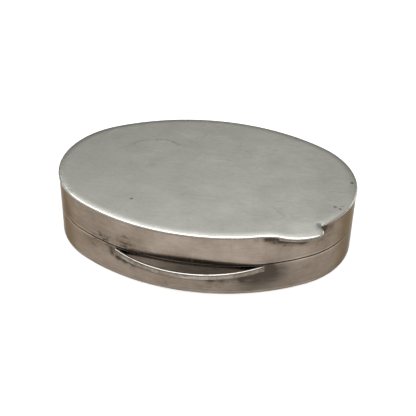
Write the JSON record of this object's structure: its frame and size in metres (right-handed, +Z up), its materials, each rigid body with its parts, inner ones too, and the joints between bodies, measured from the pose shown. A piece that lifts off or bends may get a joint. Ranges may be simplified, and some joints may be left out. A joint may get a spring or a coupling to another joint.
{
  "type": "pill box",
  "caption": "Oval hinged pill box of plain sheet silver with a thumb tab on the lid and a bowed grip strip on the front.",
  "frame": {"origin": "on the surface the box rests on, under the centre of the oval body", "axes": "+X along the oval's long axis, -Y towards the front with the tab and the grip bow, +Z up"},
  "size_m": [0.056, 0.0416, 0.0128],
  "materials": {
    "silver_top": "satin, worn silver",
    "silver_wall": "satin, tarnished silver",
    "silver_trim": "satin, rubbed silver",
    "silver_inside": "satin silver",
    "silver_hinge": "tarnished silver"
  },
  "bodies": {
    "base": {"base_plate": "silver_wall", "base_wall": "silver_wall", "inner_bezel": "silver_inside", "grip_bow": "silver_trim", "base_hinge_bearer": "silver_inside", "base_knuckle_left": "silver_hinge", "base_knuckle_centre": "silver_hinge", "base_knuckle_right": "silver_hinge", "hinge_pin": "silver_hinge"},
    "lid": {"lid_plate": "silver_top", "lid_wall": "silver_wall", "thumb_tab": "silver_trim", "lid_hinge_bearer": "silver_inside", "lid_knuckle_left": "silver_hinge", "lid_knuckle_right": "silver_hinge"}
  },
  "joints": [
    {"name": "lid_hinge", "type": "hinge", "parent": "base", "child": "lid", "pos_m": [0, 0.01885, 0.0064], "axis": [-1, 0, 0], "range_deg": [0, 105]}
  ]
}
